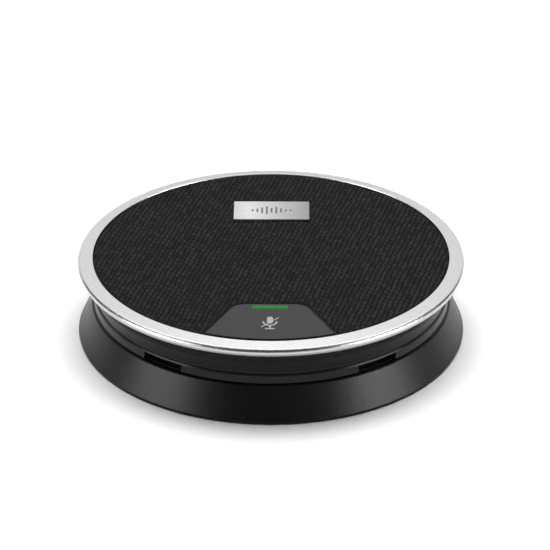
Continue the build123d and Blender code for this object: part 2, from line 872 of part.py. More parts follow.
with BuildPart() as dust_cap:
    with BuildSketch(Plane.XZ):
        with BuildLine():
            outside = ThreePointArc(
                (0, cap_seat + cap_rise),
                (cap_radius / 2, cap_seat + cap_shoulder),
                (cap_radius, cap_seat),
            )
            inside = ThreePointArc(
                (0, cap_seat + cap_rise - cap_wall),
                (cap_radius / 2, cap_seat + cap_shoulder - cap_wall),
                (cap_radius - 4 / 3 * cap_wall, cap_seat),
            )
            Line(outside @ 0, inside @ 0)
            Line(outside @ 1, inside @ 1)
        make_face()
    revolve(axis=Axis.Z)
dust_cap.part.label = "dust_cap"
export_step(dust_cap.part, "parts/dust_cap.step")

# ---------------------------------------------------------------- microphones
flex_thickness = 0.2
flex_top = chassis_top + flex_thickness
flex_inner_radius = 45.5
flex_outer_radius = 52.5
flex_margin = 0.6  # inside the key's plan
capsule_length = 3.5
capsule_width = 2.65
capsule_height = 1.0
boot_radius = 2.9
boot_top = 24.4
sound_hole_radius = 0.6

with BuildPart() as microphone_flex:
    washer(flex_inner_radius, flex_outer_radius, chassis_top, flex_top)
    key_shape(-flex_margin, past_key, chassis_top, flex_top, mode=Mode.SUBTRACT)
microphone_flex.part.label = "microphone_flex"
export_step(microphone_flex.part, "parts/microphone_flex.step")

with BuildPart() as microphones:
    blocks(microphone_spots, capsule_length, capsule_width, flex_top, flex_top + capsule_height)
microphones.part.label = "microphones"
export_step(microphones.part, "parts/microphones.step")

with BuildPart() as microphone_boots:
    cylinders(microphone_spots, boot_radius, flex_top, boot_top)
    blocks(
        microphone_spots,
        capsule_length + 2 * sliding_gap,
        capsule_width + 2 * sliding_gap,
        flex_top,
        flex_top + capsule_height + sliding_gap,
        mode=Mode.SUBTRACT,
    )
    cylinders(microphone_spots, sound_hole_radius, flex_top, boot_top, mode=Mode.SUBTRACT)
microphone_boots.part.label = "microphone_boots"
export_step(microphone_boots.part, "parts/microphone_boots.step")

# ---------------------------------------------------------------- key electronics
key_board_top = 22.4
key_board_margin = 0.8
key_board_reach = 51.5
guide_room = 0.2
key_flex_width = 8.0
key_flex_knees = [17.6, 13.0]  # heights where the flat cable turns
key_flex_bend = 1.5
led_spots = [(-3.6, light_y), (0, light_y), (3.6, light_y)]
led_length = 1.6
led_width = 0.8
led_top = 23.0
shield_spot = (0, light_y - 0.45)
shield_length = 12.6
shield_width = 2.7
shield_wall_x = 0.6
shield_wall_y = 0.4
shield_top = 23.1
switch_size = 4.5
switch_corner = 0.4
switch_top = 23.5
plunger_top = 24.0
plunger_radius = 0.95
plunger_bore = 1.0
plunger_edge = 0.15
plunger_room = 0.05  # under the plunger when it is pressed
switch_floor = 22.7

with BuildPart() as key_board:
    key_shape(-key_board_margin, key_board_reach, chassis_top, key_board_top)
    guide_hole = guide_radius + guide_room
    cylinders(guide_spots, guide_hole, chassis_top, key_board_top, mode=Mode.SUBTRACT)
key_board.part.label = "key_board"
export_step(key_board.part, "parts/key_board.step")

with BuildPart() as key_flex:
    half_thickness = flex_thickness / 2
    upper_knee, lower_knee = key_flex_knees
    with BuildSketch(Plane.YZ.offset(-key_flex_width / 2)):
        with BuildLine():
            FilletPolyline(
                (flex_slot_y, chassis_top - half_thickness),
                (flex_slot_y, upper_knee),
                (flex_connector_y, lower_knee),
                (flex_connector_y, connector_top + half_thickness),
                radius=key_flex_bend,
            )
            offset(amount=half_thickness, side=Side.BOTH)
        make_face()
    extrude(amount=key_flex_width)
key_flex.part.label = "key_flex"
export_step(key_flex.part, "parts/key_flex.step")

with BuildPart() as status_leds:
    blocks(led_spots, led_length, led_width, key_board_top, led_top)
status_leds.part.label = "status_leds"
export_step(status_leds.part, "parts/status_leds.step")

with BuildPart() as light_shield:
    blocks([shield_spot], shield_length, shield_width, key_board_top, shield_top)
    blocks(
        [shield_spot],
        shield_length - 2 * shield_wall_x,
        shield_width - 2 * shield_wall_y,
        key_board_top,
        shield_top,
        mode=Mode.SUBTRACT,
    )
light_shield.part.label = "light_shield"
export_step(light_shield.part, "parts/light_shield.step")

with BuildPart() as switch_body:
    blocks([switch_spot], switch_size, switch_size, key_board_top, switch_top)
    chamfer(switch_body.edges().filter_by(Axis.Z), length=switch_corner)
    cylinders([switch_spot], plunger_bore, switch_floor, switch_top, mode=Mode.SUBTRACT)
switch_body.part.label = "switch_body"
export_step(switch_body.part, "parts/switch_body.step")

with BuildPart() as switch_plunger:
    plunger_bottom = switch_floor + plunger_room + key_travel
    cylinders([switch_spot], plunger_radius, plunger_bottom, plunger_top)
    fillet(switch_plunger.edges().group_by(Axis.Z)[-1], radius=plunger_edge)
switch_plunger.part.label = "switch_plunger"
export_step(switch_plunger.part, "parts/switch_plunger.step")

# ---------------------------------------------------------------- top: grille plate, fabric, nameplate
grille_radius = 54.9
skirt_inner = 53.2
hole_rings = 4
hole_pitch = 6.0
hole_radius = 0.9
nameplate_y = 27.3
nameplate_length = 24.0
nameplate_width = 12.8
nameplate_thickness = 0.5
nameplate_corner = 0.5
nameplate_bevel = 0.12
pin_reach = 9.0  # from the nameplate's middle
pin_spots = [(-pin_reach, nameplate_y), (pin_reach, nameplate_y)]
pin_radius = 0.75
pin_length = 2.0
bar_lengths = [1.4, 2.6, 4.2, 5.6, 3.4, 4.8, 3.0, 1.8, 1.2]  # a row of sound-level bars
bar_pitch = 1.5
bar_width = 0.6
bar_depth = 0.1

with BuildPart() as grille_plate:
    with BuildSketch(Plane.XZ):
        with BuildLine():
            upper = ThreePointArc(
                (0, crown(0, skin)),
                (grille_radius / 2, crown(grille_radius / 2, skin)),
                (grille_radius, crown(grille_radius, skin)),
            )
            lower = ThreePointArc(
                (0, crown(0, skin + grille_thickness)),
                (skirt_inner / 2, crown(skirt_inner / 2, skin + grille_thickness)),
                (skirt_inner, crown(skirt_inner, skin + grille_thickness)),
            )
            Line(upper @ 0, lower @ 0)
            Polyline(
                upper @ 1,
                (grille_radius, neck_top),
                (skirt_inner, neck_top),
                lower @ 1,
            )
        make_face()
    revolve(axis=Axis.Z)
    with BuildSketch(Plane.XY.offset(neck_top)):
        Circle(hole_radius)
        for ring in range(1, hole_rings + 1):
            with PolarLocations(hole_pitch * ring, 6 * ring):
                Circle(hole_radius)
        with Locations(*microphone_spots):
            Circle(hole_radius)
        with Locations(*pin_spots):
            Circle(pin_radius + sliding_gap)
    extrude(amount=crown_top - neck_top, mode=Mode.SUBTRACT)
    key_shape(key_gap, past_key, neck_top, crown_top, mode=Mode.SUBTRACT)
grille_plate.part.label = "grille_plate"
export_step(grille_plate.part, "parts/grille_plate.step")

with BuildPart() as fabric_cover:
    with BuildSketch(Plane.XZ):
        dome_section(fabric_radius, 0.0, skin - screw_gap)
    revolve(axis=Axis.Z)
    key_shape(key_gap, past_key, neck_top, crown_top, mode=Mode.SUBTRACT)
    cylinders(pin_spots, pin_radius + sliding_gap, neck_top, crown_top, mode=Mode.SUBTRACT)
fabric_cover.part.label = "fabric_cover"
export_step(fabric_cover.part, "parts/fabric_cover.step")

# the nameplate lies square to the dome at its own middle
nameplate_plane = Plane(
    origin=(0, nameplate_y, crown(nameplate_y) + screw_gap),
    x_dir=(1, 0, 0),
    z_dir=(0, nameplate_y, dome_radius),
)

with BuildPart() as nameplate:
    with BuildSketch(nameplate_plane):
        RectangleRounded(nameplate_length, nameplate_width, nameplate_corner)
    extrude(amount=nameplate_thickness)
    chamfer(nameplate.faces().sort_by(Axis.Z)[-1].edges(), length=nameplate_bevel)
    with BuildSketch(nameplate_plane):
        with Locations((-pin_reach, 0), (pin_reach, 0)):
            Circle(pin_radius)
    extrude(amount=-pin_length)
    # engraved bars with round ends
    with BuildSketch(nameplate_plane.offset(nameplate_thickness)):
        for step, bar_length in enumerate(bar_lengths):
            bar_x = bar_pitch * (step - (len(bar_lengths) - 1) / 2)
            with Locations((bar_x, 0)):
                SlotOverall(bar_length, bar_width, rotation=90)
    extrude(amount=-bar_depth, mode=Mode.SUBTRACT)
nameplate.part.label = "nameplate"
export_step(nameplate.part, "parts/nameplate.step")

# ---------------------------------------------------------------- mute key, all moving
key_bottom = 23.7
key_roof = 24.9  # underside of the key's top wall
key_wall = 1.3
key_below = 0.1  # the key lies this far below the crown
lip_grow = 1.2
lip_top = 24.3
lip_reach = 52.8
light_bottom = 23.9
guide_bottom = 22.1
key_edge = 0.25
stem_radius = 1.6  # over the switch
inlay_proud = 0.02  # how far the light bar and the symbol stand above the key's face

symbol_bottom = 25.7
symbol_top = 26.7
symbol_line = 0.55
capsule_y = -43.0
capsule_long = 4.0
capsule_wide = 1.8
cradle_y = -44.1
cradle_radius = 2.25
stand_y = -48.0
stand_long = 2.9
stroke_y = -44.25
stroke_long = 7.6
stroke_wide = 0.32
stroke_angle = 47.5  # degrees

# a microphone in a cradle, on a stand, with a stroke through it
with BuildSketch() as symbol_plan:
    with Locations((0, cradle_y)):
        Circle(cradle_radius)
        Circle(cradle_radius - symbol_line, mode=Mode.SUBTRACT)
    with Locations((0, cradle_y + cradle_radius)):
        Rectangle(3 * cradle_radius, 2 * cradle_radius - symbol_line, mode=Mode.SUBTRACT)
    with Locations((0, capsule_y)):
        SlotOverall(capsule_long, capsule_wide, rotation=90)
    stem_top = cradle_y - cradle_radius + symbol_line
    with Locations((0, (stem_top + stand_y) / 2)):
        Rectangle(symbol_line, stem_top - stand_y)
    with Locations((0, stand_y)):
        Rectangle(stand_long, symbol_line)
    with Locations((0, stroke_y)):
        Rectangle(stroke_long, stroke_wide, rotation=stroke_angle)

with BuildPart() as mute_key:
    key_shape(0, past_key, key_bottom, crown_top)
    trim_to_crown(key_below)
    fillet(mute_key.faces().sort_by(Axis.Z)[-1].edges(), radius=key_edge)
    key_shape(lip_grow, lip_reach, key_bottom, lip_top)
    key_shape(-key_wall, past_key, key_bottom, key_roof, mode=Mode.SUBTRACT)
    cylinders(guide_spots, guide_bore - sliding_gap, guide_bottom, key_roof)
    cylinders([switch_spot], stem_radius, plunger_top + screw_gap, key_roof)
    blocks([(0, light_y)], light_length, light_width, key_bottom, crown_top, mode=Mode.SUBTRACT)
    with BuildSketch(Plane.XY.offset(symbol_bottom)):
        add(symbol_plan.sketch)
    extrude(amount=symbol_top - symbol_bottom, mode=Mode.SUBTRACT)
mute_key.part.label = "mute_key"
export_step(mute_key.part, "parts/mute_key.step")

with BuildPart() as key_light_bar:
    blocks(
        [(0, light_y)],
        light_length - 2 * screw_gap,
        light_width - 2 * screw_gap,
        light_bottom,
        crown_top,
    )
    trim_to_crown(key_below - inlay_proud)
key_light_bar.part.label = "key_light_bar"
export_step(key_light_bar.part, "parts/key_light_bar.step")

with BuildPart() as mute_symbol:
    with BuildSketch(Plane.XY.offset(symbol_bottom)):
        add(symbol_plan.sketch)
    extrude(amount=symbol_top - symbol_bottom)
    trim_to_crown(key_below - inlay_proud)
mute_symbol.part.label = "mute_symbol"
export_step(mute_symbol.part, "parts/mute_symbol.step")
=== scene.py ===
import json
from math import cos, pi, radians, sin, sqrt

import bpy
import numpy as np
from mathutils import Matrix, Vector


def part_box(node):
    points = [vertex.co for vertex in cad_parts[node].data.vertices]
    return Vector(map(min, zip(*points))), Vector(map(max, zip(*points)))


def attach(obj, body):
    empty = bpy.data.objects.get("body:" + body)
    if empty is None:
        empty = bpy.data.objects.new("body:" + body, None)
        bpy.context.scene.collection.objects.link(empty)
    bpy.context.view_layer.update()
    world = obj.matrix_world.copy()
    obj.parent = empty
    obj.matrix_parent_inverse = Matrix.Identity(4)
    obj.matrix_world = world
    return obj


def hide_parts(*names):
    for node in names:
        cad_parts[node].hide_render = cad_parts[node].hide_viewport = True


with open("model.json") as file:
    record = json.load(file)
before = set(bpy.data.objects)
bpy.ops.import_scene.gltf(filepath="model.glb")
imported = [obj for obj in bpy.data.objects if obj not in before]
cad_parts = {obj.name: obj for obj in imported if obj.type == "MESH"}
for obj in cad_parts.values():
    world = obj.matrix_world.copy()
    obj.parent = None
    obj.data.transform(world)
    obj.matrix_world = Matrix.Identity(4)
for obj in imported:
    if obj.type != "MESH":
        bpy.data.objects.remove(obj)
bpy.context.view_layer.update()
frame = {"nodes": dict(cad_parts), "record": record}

# The looks of a round conference speakerphone, in metres, in the CAD model's frame: +Z up, the mute
# key towards -Y and the cable socket towards +Y.
MM = 0.001
nodes = frame["nodes"]
SEED = 7


def size_of(node):
    """Width, depth and height of a CAD node."""
    low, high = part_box(node)
    return high - low


# ---------------------------------------------------------------- camera
CAMERA_DISTANCE = 1.0
CAMERA_ELEVATION = 28.4  # degrees above the table
CAMERA_AZIMUTH = 0.4  # degrees to the right of straight ahead
CAMERA_AIM = Vector((0, 0, 15 * MM))
CAMERA_LENS = 210.0  # for Blender's own 36 mm sensor
CAMERA_SHIFT = (0.0073, 0.0175)  # moves the object a little left and down in the picture


def make_camera():
    turn = radians(CAMERA_AZIMUTH)
    rise = radians(CAMERA_ELEVATION)
    away = Vector((sin(turn) * cos(rise), -cos(turn) * cos(rise), sin(rise)))
    camera = bpy.data.objects.new("camera", bpy.data.cameras.new("camera"))
    camera.location = CAMERA_AIM + CAMERA_DISTANCE * away
    camera.rotation_euler = (-away).to_track_quat("-Z", "Y").to_euler()
    camera.data.lens = CAMERA_LENS
    camera.data.shift_x, camera.data.shift_y = CAMERA_SHIFT
    bpy.context.scene.collection.objects.link(camera)
    bpy.context.scene.camera = camera


make_camera()


# ---------------------------------------------------------------- light and floor
def softbox(name, place, aim, width, height, power):
    """A rectangular area light that the camera doesn't see."""
    light = bpy.data.lights.new(name, "AREA")
    light.shape = "RECTANGLE"
    light.size = width
    light.size_y = height
    light.energy = power
    lamp = bpy.data.objects.new(name, light)
    lamp.location = place
    lamp.rotation_euler = (Vector(aim) - Vector(place)).to_track_quat("-Z", "Y").to_euler()
    lamp.visible_camera = False
    bpy.context.scene.collection.objects.link(lamp)
    return lamp


SIDE_ANGLE = 66  # degrees from straight in front
SIDE_DISTANCE = 1.1
SIDE_HEIGHT = 0.34


def make_lights():
    """A large softbox behind, two above, and one at each side, with the front left dark."""
    softbox("back_softbox", (0, 1.15, 0.75), (0, 0, 0.02), 2.6, 1.5, 9.5)
    softbox("top_softbox", (0, 0.35, 1.3), (0, 0.05, 0), 1.8, 0.9, 7.5)
    # this one lights the table and the cloth without a reflection of its own
    overhead = softbox("overhead_softbox", (0, 0.2, 1.3), (0, 0, 0), 1.6, 0.9, 24)
    overhead.visible_glossy = False
    for side, power in ((-1, 8.4), (1, 11.0)):
        turn = radians(SIDE_ANGLE)
        place = (side * SIDE_DISTANCE * sin(turn), -SIDE_DISTANCE * cos(turn), SIDE_HEIGHT)
        lamp = softbox(f"side_softbox_{side}", place, (0, 0, 0.02), 0.7, 0.6, power)
        lamp.visible_diffuse = False


def make_world():
    """Pale for the camera, dim for light and reflections."""
    world = bpy.data.worlds.new("studio")
    bpy.context.scene.world = world
    world.use_nodes = True
    tree = world.node_tree
    tree.nodes.clear()
    output = tree.nodes.new("ShaderNodeOutputWorld")
    mix = tree.nodes.new("ShaderNodeMixShader")
    path = tree.nodes.new("ShaderNodeLightPath")
    dim = tree.nodes.new("ShaderNodeBackground")
    pale = tree.nodes.new("ShaderNodeBackground")
    dim.inputs["Color"].default_value = (0.05, 0.05, 0.05, 1)
    pale.inputs["Color"].default_value = (0.93, 0.93, 0.93, 1)
    tree.links.new(path.outputs["Is Camera Ray"], mix.inputs["Fac"])
    tree.links.new(dim.outputs["Background"], mix.inputs[1])
    tree.links.new(pale.outputs["Background"], mix.inputs[2])
    tree.links.new(mix.outputs["Shader"], output.inputs["Surface"])


make_lights()
make_world()
bpy.context.scene.view_settings.view_transform = "Standard"


# ---------------------------------------------------------------- materials
RIB_ANGLE = 75.0  # degrees from +X, along the ribs of the cloth
RIB_PITCH = 1.52 * MM
LED_PITCH = 3.6 * MM
NECK_BAND_RISE = 3.15 * MM  # from the foot of the neck to the top of its band
PLATE_SHEEN = 7 * MM  # left of the nameplate's middle
PLATE_SHEEN_REACH = 19 * MM
LIP_PAINTED_SHADE = 0.68  # painted shade: brightness under the ring's edge, against its top
LIP_DROP = 0.85 * MM  # from the top of the ring down to its part with painted shade
LIP_FADE = 0.3 * MM
MESH_PITCH = 0.3 * MM
MESH_WIRES = 1100  # upright wires, as radians of wave in one radian of turn
WIRE_PITCH = 0.16 * MM  # of the voice coil's turns
TRACK_PITCH = 0.8 * MM  # of the conductors in a flexible circuit


class Finish:
    """One procedural material: a Principled shader and short names for the nodes that feed it."""

    def __init__(self, name, colour, roughness, metallic=0.0, **constants):
        self.material = bpy.data.materials.new(name)
        self.material.use_nodes = True
        self.tree = self.material.node_tree
        self.shader = self.tree.nodes["Principled BSDF"]
        self.colour = colour
        self.set("Base Color", (*colour, 1))
        self.set("Roughness", roughness)
        self.set("Metallic", metallic)
        for socket, value in constants.items():
            self.set(socket.replace("_", " "), value)
        self.place = self.add("ShaderNodeTexCoord").outputs["Object"]
        self.normal = None

    def set(self, socket, value):
        self.shader.inputs[socket].default_value = value

    def add(self, kind, **settings):
        node = self.tree.nodes.new(kind)
        for key, value in settings.items():
            setattr(node, key, value)
        return node

    def feed(self, value, socket):
        """Links an output to an input, or sets the input to a number."""
        if isinstance(value, bpy.types.NodeSocket):
            self.tree.links.new(value, socket)
        else:
            socket.default_value = value

    def math(self, operation, first, second=0.0):
        node = self.add("ShaderNodeMath", operation=operation)
        self.feed(first, node.inputs[0])
        self.feed(second, node.inputs[1])
        return node.outputs[0]

    def stretch(self, factors):
        """The coordinates, scaled along each axis."""
        node = self.add("ShaderNodeVectorMath", operation="MULTIPLY")
        self.feed(self.place, node.inputs[0])
        node.inputs[1].default_value = factors
        return node.outputs[0]

    def split(self):
        node = self.add("ShaderNodeSeparateXYZ")
        self.feed(self.place, node.inputs[0])
        return node.outputs

    def polar(self):
        """Distance from the Z axis and angle round it, both as numbers."""
        x, y, _ = self.split()
        squares = self.math("ADD", self.math("MULTIPLY", x, x), self.math("MULTIPLY", y, y))
        radius = self.math("SQRT", squares)
        return radius, self.math("ARCTAN2", y, x)

    def join(self, x, y, z):
        node = self.add("ShaderNodeCombineXYZ")
        for value, socket in zip((x, y, z), node.inputs):
            self.feed(value, socket)
        return node.outputs[0]

    def noise(self, scale, detail=2.0, place=None):
        node = self.add("ShaderNodeTexNoise")
        self.feed(place or self.place, node.inputs["Vector"])
        node.inputs["Scale"].default_value = scale
        node.inputs["Detail"].default_value = detail
        return node.outputs["Fac"]

    def cells(self, scale):
        node = self.add("ShaderNodeTexVoronoi")
        self.feed(self.place, node.inputs["Vector"])
        node.inputs["Scale"].default_value = scale
        return node.outputs["Distance"]

    def spread(self, value, low, high, start=0.3, end=0.7):
        """Maps a value from start..end to low..high."""
        node = self.add("ShaderNodeMapRange")
        self.feed(value, node.inputs["Value"])
        node.inputs["From Min"].default_value = start
        node.inputs["From Max"].default_value = end
        node.inputs["To Min"].default_value = low
        node.inputs["To Max"].default_value = high
        return node.outputs["Result"]

    def mix(self, factor, first, second):
        node = self.add("ShaderNodeMix", data_type="RGBA")
        self.feed(factor, node.inputs["Factor"])
        for colour, socket in ((first, node.inputs[6]), (second, node.inputs[7])):
            self.feed(colour if isinstance(colour, bpy.types.NodeSocket) else (*colour, 1), socket)
        return node.outputs[2]

    def paint(self, factor, first, second):
        """Mixes two colours by a factor, as the material's colour."""
        self.feed(self.mix(factor, first, second), self.shader.inputs["Base Color"])

    def shade(self, factor, dark, light):
        """Varies the material's own colour between two brightnesses."""
        self.paint(factor, [c * dark for c in self.colour], [c * light for c in self.colour])

    def polish(self, factor, low, high, start=0.3, end=0.7):
        """Varies the roughness."""
        self.feed(self.spread(factor, low, high, start, end), self.shader.inputs["Roughness"])

    def bump(self, height, depth):
        """Adds relief: height from 0 to 1 stands for depth, in metres."""
        node = self.add("ShaderNodeBump")
        node.inputs["Strength"].default_value = 1.0
        node.inputs["Distance"].default_value = depth
        self.feed(height, node.inputs["Height"])
        if self.normal is not None:
            self.feed(self.normal, node.inputs["Normal"])
        self.normal = node.outputs["Normal"]
        self.feed(self.normal, self.shader.inputs["Normal"])


def moulded(name, colour, roughness, grain=0.25 * MM, depth=0.006 * MM, **constants):
    """Moulded plastic: a fine spark-eroded grain, with faint clouding in colour and gloss."""
    finish = Finish(name, colour, roughness, **constants)
    grains = finish.noise(1 / grain, 3)
    clouds = finish.noise(60, 2)
    finish.shade(clouds, 0.88, 1.12)
    gloss = finish.math("ADD", finish.math("MULTIPLY", grains, 0.6), finish.math("MULTIPLY", clouds, 0.4))
    finish.polish(gloss, roughness - 0.05, roughness + 0.05)
    finish.bump(grains, depth)
    return finish


def satin_base():
    finish = moulded("satin_black", (0.0035, 0.0035, 0.0036), 0.36, 0.5 * MM, 0.035 * MM)
    finish.set("Specular IOR Level", 0.25)
    return finish


def neck_black():
    """Fine matt black with painted sheen: greyer on the band round its foot and again towards the ring."""
    finish = moulded("neck_black", (0.026, 0.026, 0.0265), 0.22, 0.2 * MM, 0.002 * MM)
    finish.set("Specular IOR Level", 0.14)
    neck_low, neck_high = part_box("neck_shell")
    band_top = neck_low.z + NECK_BAND_RISE
    height = finish.split()[2]
    # painted sheen: the band and the neck towards the ring are painted greyer, standing in for the light
    # they reflect
    band = finish.spread(height, 0.7, 0.0, band_top + 0.15 * MM, band_top + 0.9 * MM)
    rise = finish.spread(height, 0.0, 1.0, band_top, neck_high.z)
    finish.shade(finish.math("MAXIMUM", band, rise), 0.0, 1.0)
    return finish


def ring_metal():
    """Brushed round the ring: streaks that follow the angle, with fine and coarse lines."""
    finish = Finish("ring_metal", (0.80, 0.80, 0.80), 0.27, 1.0)
    radius, angle = finish.polar()
    height = finish.split()[2]
    along = finish.math("MULTIPLY", finish.math("SINE", angle), 14.0)
    along_too = finish.math("MULTIPLY", finish.math("COSINE", angle), 14.0)
    across = finish.math("MULTIPLY", finish.math("ADD", radius, height), 9000.0)
    lines = finish.noise(1.0, 3, finish.join(along, along_too, across))
    clouds = finish.noise(90, 2)
    # painted shade: toned down under the edge in the material itself, to match how dark the photo is there
    lip_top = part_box("trim_ring")[1].z - LIP_DROP
    tone = finish.spread(height, LIP_PAINTED_SHADE, 1.0, lip_top - LIP_FADE, lip_top)
    finish.shade(finish.math("MULTIPLY", tone, finish.spread(lines, 0.96, 1.03)), 0.0, 1.0)
    finish.polish(lines, 0.26, 0.30)
    finish.bump(finish.math("ADD", lines, finish.math("MULTIPLY", clouds, 0.2)), 0.0005 * MM)
    return finish


def plate_metal():
    """Brushed along the plate, with a painted sheen that is brightest left of its middle."""
    finish = Finish("plate_metal", (0.93, 0.93, 0.93), 0.3, 1.0, Anisotropic=0.5)
    lines = finish.noise(1.0, 3, finish.stretch((260, 7000, 7000)))
    away = finish.math("ABSOLUTE", finish.math("ADD", finish.split()[0], PLATE_SHEEN))
    sheen = finish.spread(away, 1.0, 0.45, 0, PLATE_SHEEN_REACH)
    finish.shade(finish.math("MULTIPLY", sheen, finish.spread(lines, 0.94, 1.03)), 0.0, 1.0)
    finish.polish(lines, 0.24, 0.38)
    finish.bump(lines, 0.004 * MM)
    return finish


def twill():
    """Black yarn: the mesh's own rib attribute darkens the valleys as painted shade, and fine fibres run
    with the ribs.
    """
    finish = Finish("twill", (0.0142, 0.0142, 0.0144), 0.9)
    finish.set("Specular IOR Level", 0.0)
    rib = finish.add("ShaderNodeAttribute", attribute_name="rib").outputs["Fac"]
    turn = radians(RIB_ANGLE)
    x, y, _ = finish.split()
    across_x = finish.math("MULTIPLY", x, sin(turn))
    across_y = finish.math("MULTIPLY", y, cos(turn))
    across = finish.math("SUBTRACT", across_x, across_y)
    along_x = finish.math("MULTIPLY", x, cos(turn))
    along_y = finish.math("MULTIPLY", y, sin(turn))
    along = finish.math("ADD", along_x, along_y)
    fine = finish.join(finish.math("MULTIPLY", across, 9000), finish.math("MULTIPLY", along, 1500), 0.0)
    fibres = finish.noise(1.0, 2, fine)
    # painted shade: the rib attribute darkens the valleys between the threads, the fibres vary the yarn's
    # own tone
    tone = finish.math("ADD", finish.math("MULTIPLY", rib, 0.85), finish.math("MULTIPLY", fibres, 0.3))
    finish.shade(tone, 0.15, 2.0)
    finish.polish(fibres, 0.75, 0.95)
    finish.bump(fibres, 0.03 * MM)
    return finish


def lit_green():
    """The light bar: a diffuse guide, a little brighter over each of the three sources."""
    finish = Finish("light_green", (0.004, 0.04, 0.004), 0.5)
    finish.set("Specular IOR Level", 0.1)
    x = finish.split()[0]
    wave = finish.math("COSINE", finish.math("MULTIPLY", x, 2 * pi / LED_PITCH))
    grain = finish.noise(3000, 2)
    glow = finish.spread(finish.math("ADD", wave, grain), 0.85, 1.1, -0.7, 1.7)
    colour = finish.mix(glow, (0.0, 0.0, 0.0), (0.016, 0.185, 0.017))
    finish.feed(colour, finish.shader.inputs["Emission Color"])
    finish.set("Emission Strength", 1.0)
    finish.bump(grain, 0.002 * MM)
    return finish


def mesh_cloth():
    """Fine woven mesh, upright wires crossed by level ones."""
    finish = Finish("mesh_black", (0.004, 0.004, 0.004), 0.8)
    _, angle = finish.polar()
    height = finish.split()[2]
    upright = finish.math("SINE", finish.math("MULTIPLY", angle, MESH_WIRES))
    level = finish.math("SINE", finish.math("MULTIPLY", height, 2 * pi / MESH_PITCH))
    weave = finish.math("MULTIPLY", upright, level)
    finish.shade(finish.spread(weave, 0, 1, -1, 1), 0.4, 1.6)
    finish.polish(weave, 0.7, 0.9, -1, 1)
    finish.bump(weave, 0.05 * MM)
    return finish


def rubber():
    finish = moulded("foot_rubber", (0.012, 0.012, 0.012), 0.72, 0.2 * MM, 0.01 * MM)
    finish.set("Specular IOR Level", 0.3)
    return finish


def foam():
    finish = Finish("foam", (0.03, 0.03, 0.033), 0.95)
    pores = finish.cells(1 / (0.5 * MM))
    finish.shade(finish.spread(pores, 0, 1, 0.0, 0.6), 0.3, 1.2)
    finish.polish(pores, 0.85, 1.0)
    finish.bump(pores, 0.2 * MM)
    return finish


def plated(name, colour, roughness=0.28):
    """Plated steel: faint spangle in gloss, with fine handling marks."""
    finish = Finish(name, colour, roughness, 1.0)
    spangle = finish.cells(1 / (0.9 * MM))
    marks = finish.noise(1.0, 3, finish.stretch((900, 4000, 2500)))
    finish.shade(spangle, 0.92, 1.04)
    gloss = finish.math("MULTIPLY", finish.math("ADD", spangle, marks), 0.5)
    finish.polish(gloss, roughness - 0.08, roughness + 0.1)
    finish.bump(marks, 0.003 * MM)
    return finish


def rolled_steel():
    finish = Finish("ballast_steel", (0.4, 0.4, 0.41), 0.42, 1.0)
    lines = finish.noise(1.0, 4, finish.stretch((120, 2500, 2500)))
    rust = finish.noise(140, 4)
    finish.shade(lines, 0.8, 1.1)
    finish.polish(rust, 0.35, 0.6)
    finish.bump(lines, 0.008 * MM)
    return finish


def ferrite():
    finish = Finish("ferrite", (0.045, 0.045, 0.047), 0.6)
    grit = finish.noise(1 / (0.35 * MM), 4)
    finish.shade(grit, 0.7, 1.3)
    finish.polish(grit, 0.5, 0.72)
    finish.bump(grit, 0.02 * MM)
    return finish


def board():
    """Solder mask over copper: a grid of straight tracks stands up a little."""
    finish = Finish("board_green", (0.008, 0.07, 0.028), 0.32)
    tracks = finish.add("ShaderNodeTexBrick")
    finish.feed(finish.place, tracks.inputs["Vector"])
    tracks.inputs["Scale"].default_value = 1 / (4 * MM)
    tracks.inputs["Mortar Size"].default_value = 0.08
    grain = finish.noise(1500, 2)
    finish.paint(tracks.outputs["Fac"], (0.008, 0.07, 0.028), (0.02, 0.13, 0.05))
    finish.polish(grain, 0.26, 0.4)
    finish.bump(tracks.outputs["Fac"], 0.03 * MM)
    return finish


def paper():
    finish = Finish("cone_paper", (0.035, 0.034, 0.033), 0.8)
    pulp = finish.noise(1.0, 4, finish.stretch((1400, 1400, 500)))
    finish.shade(pulp, 0.7, 1.4)
    finish.polish(pulp, 0.7, 0.9)
    finish.bump(pulp, 0.05 * MM)
    return finish


def cloth(name, colour, pitch):
    """Plain weave, as on the speaker's suspension."""
    finish = Finish(name, colour, 0.75)
    x, y, _ = finish.split()
    warp = finish.math("SINE", finish.math("MULTIPLY", x, 2 * pi / pitch))
    weft = finish.math("SINE", finish.math("MULTIPLY", y, 2 * pi / pitch))
    weave = finish.math("MULTIPLY", warp, weft)
    finish.shade(finish.spread(weave, 0, 1, -1, 1), 0.7, 1.2)
    finish.polish(weave, 0.65, 0.85, -1, 1)
    finish.bump(weave, 0.06 * MM)
    return finish


def winding():
    """Enamelled copper wire in level turns."""
    finish = Finish("winding_copper", (0.60, 0.24, 0.10), 0.3, 1.0)
    height = finish.split()[2]
    turns = finish.math("SINE", finish.math("MULTIPLY", height, 2 * pi / WIRE_PITCH))
    haze = finish.noise(900, 2)
    finish.shade(haze, 0.8, 1.15)
    finish.polish(haze, 0.24, 0.4)
    finish.bump(turns, 0.05 * MM)
    return finish


def film(name, colour):
    """Polyimide film with conductors under it."""
    finish = Finish(name, colour, 0.3)
    radius, _ = finish.polar()
    tracks = finish.math("SINE", finish.math("MULTIPLY", radius, 2 * pi / TRACK_PITCH))
    haze = finish.noise(300, 3)
    finish.shade(finish.spread(tracks, 0, 1, -0.2, 0.2), 0.75, 1.15)
    finish.polish(haze, 0.22, 0.4)
    finish.bump(tracks, 0.015 * MM)
    return finish


def mute_key_grey():
    finish = moulded("key_grey", (0.027, 0.027, 0.028), 0.5, 0.14 * MM, 0.006 * MM)
    finish.set("Specular IOR Level", 0.25)
    return finish


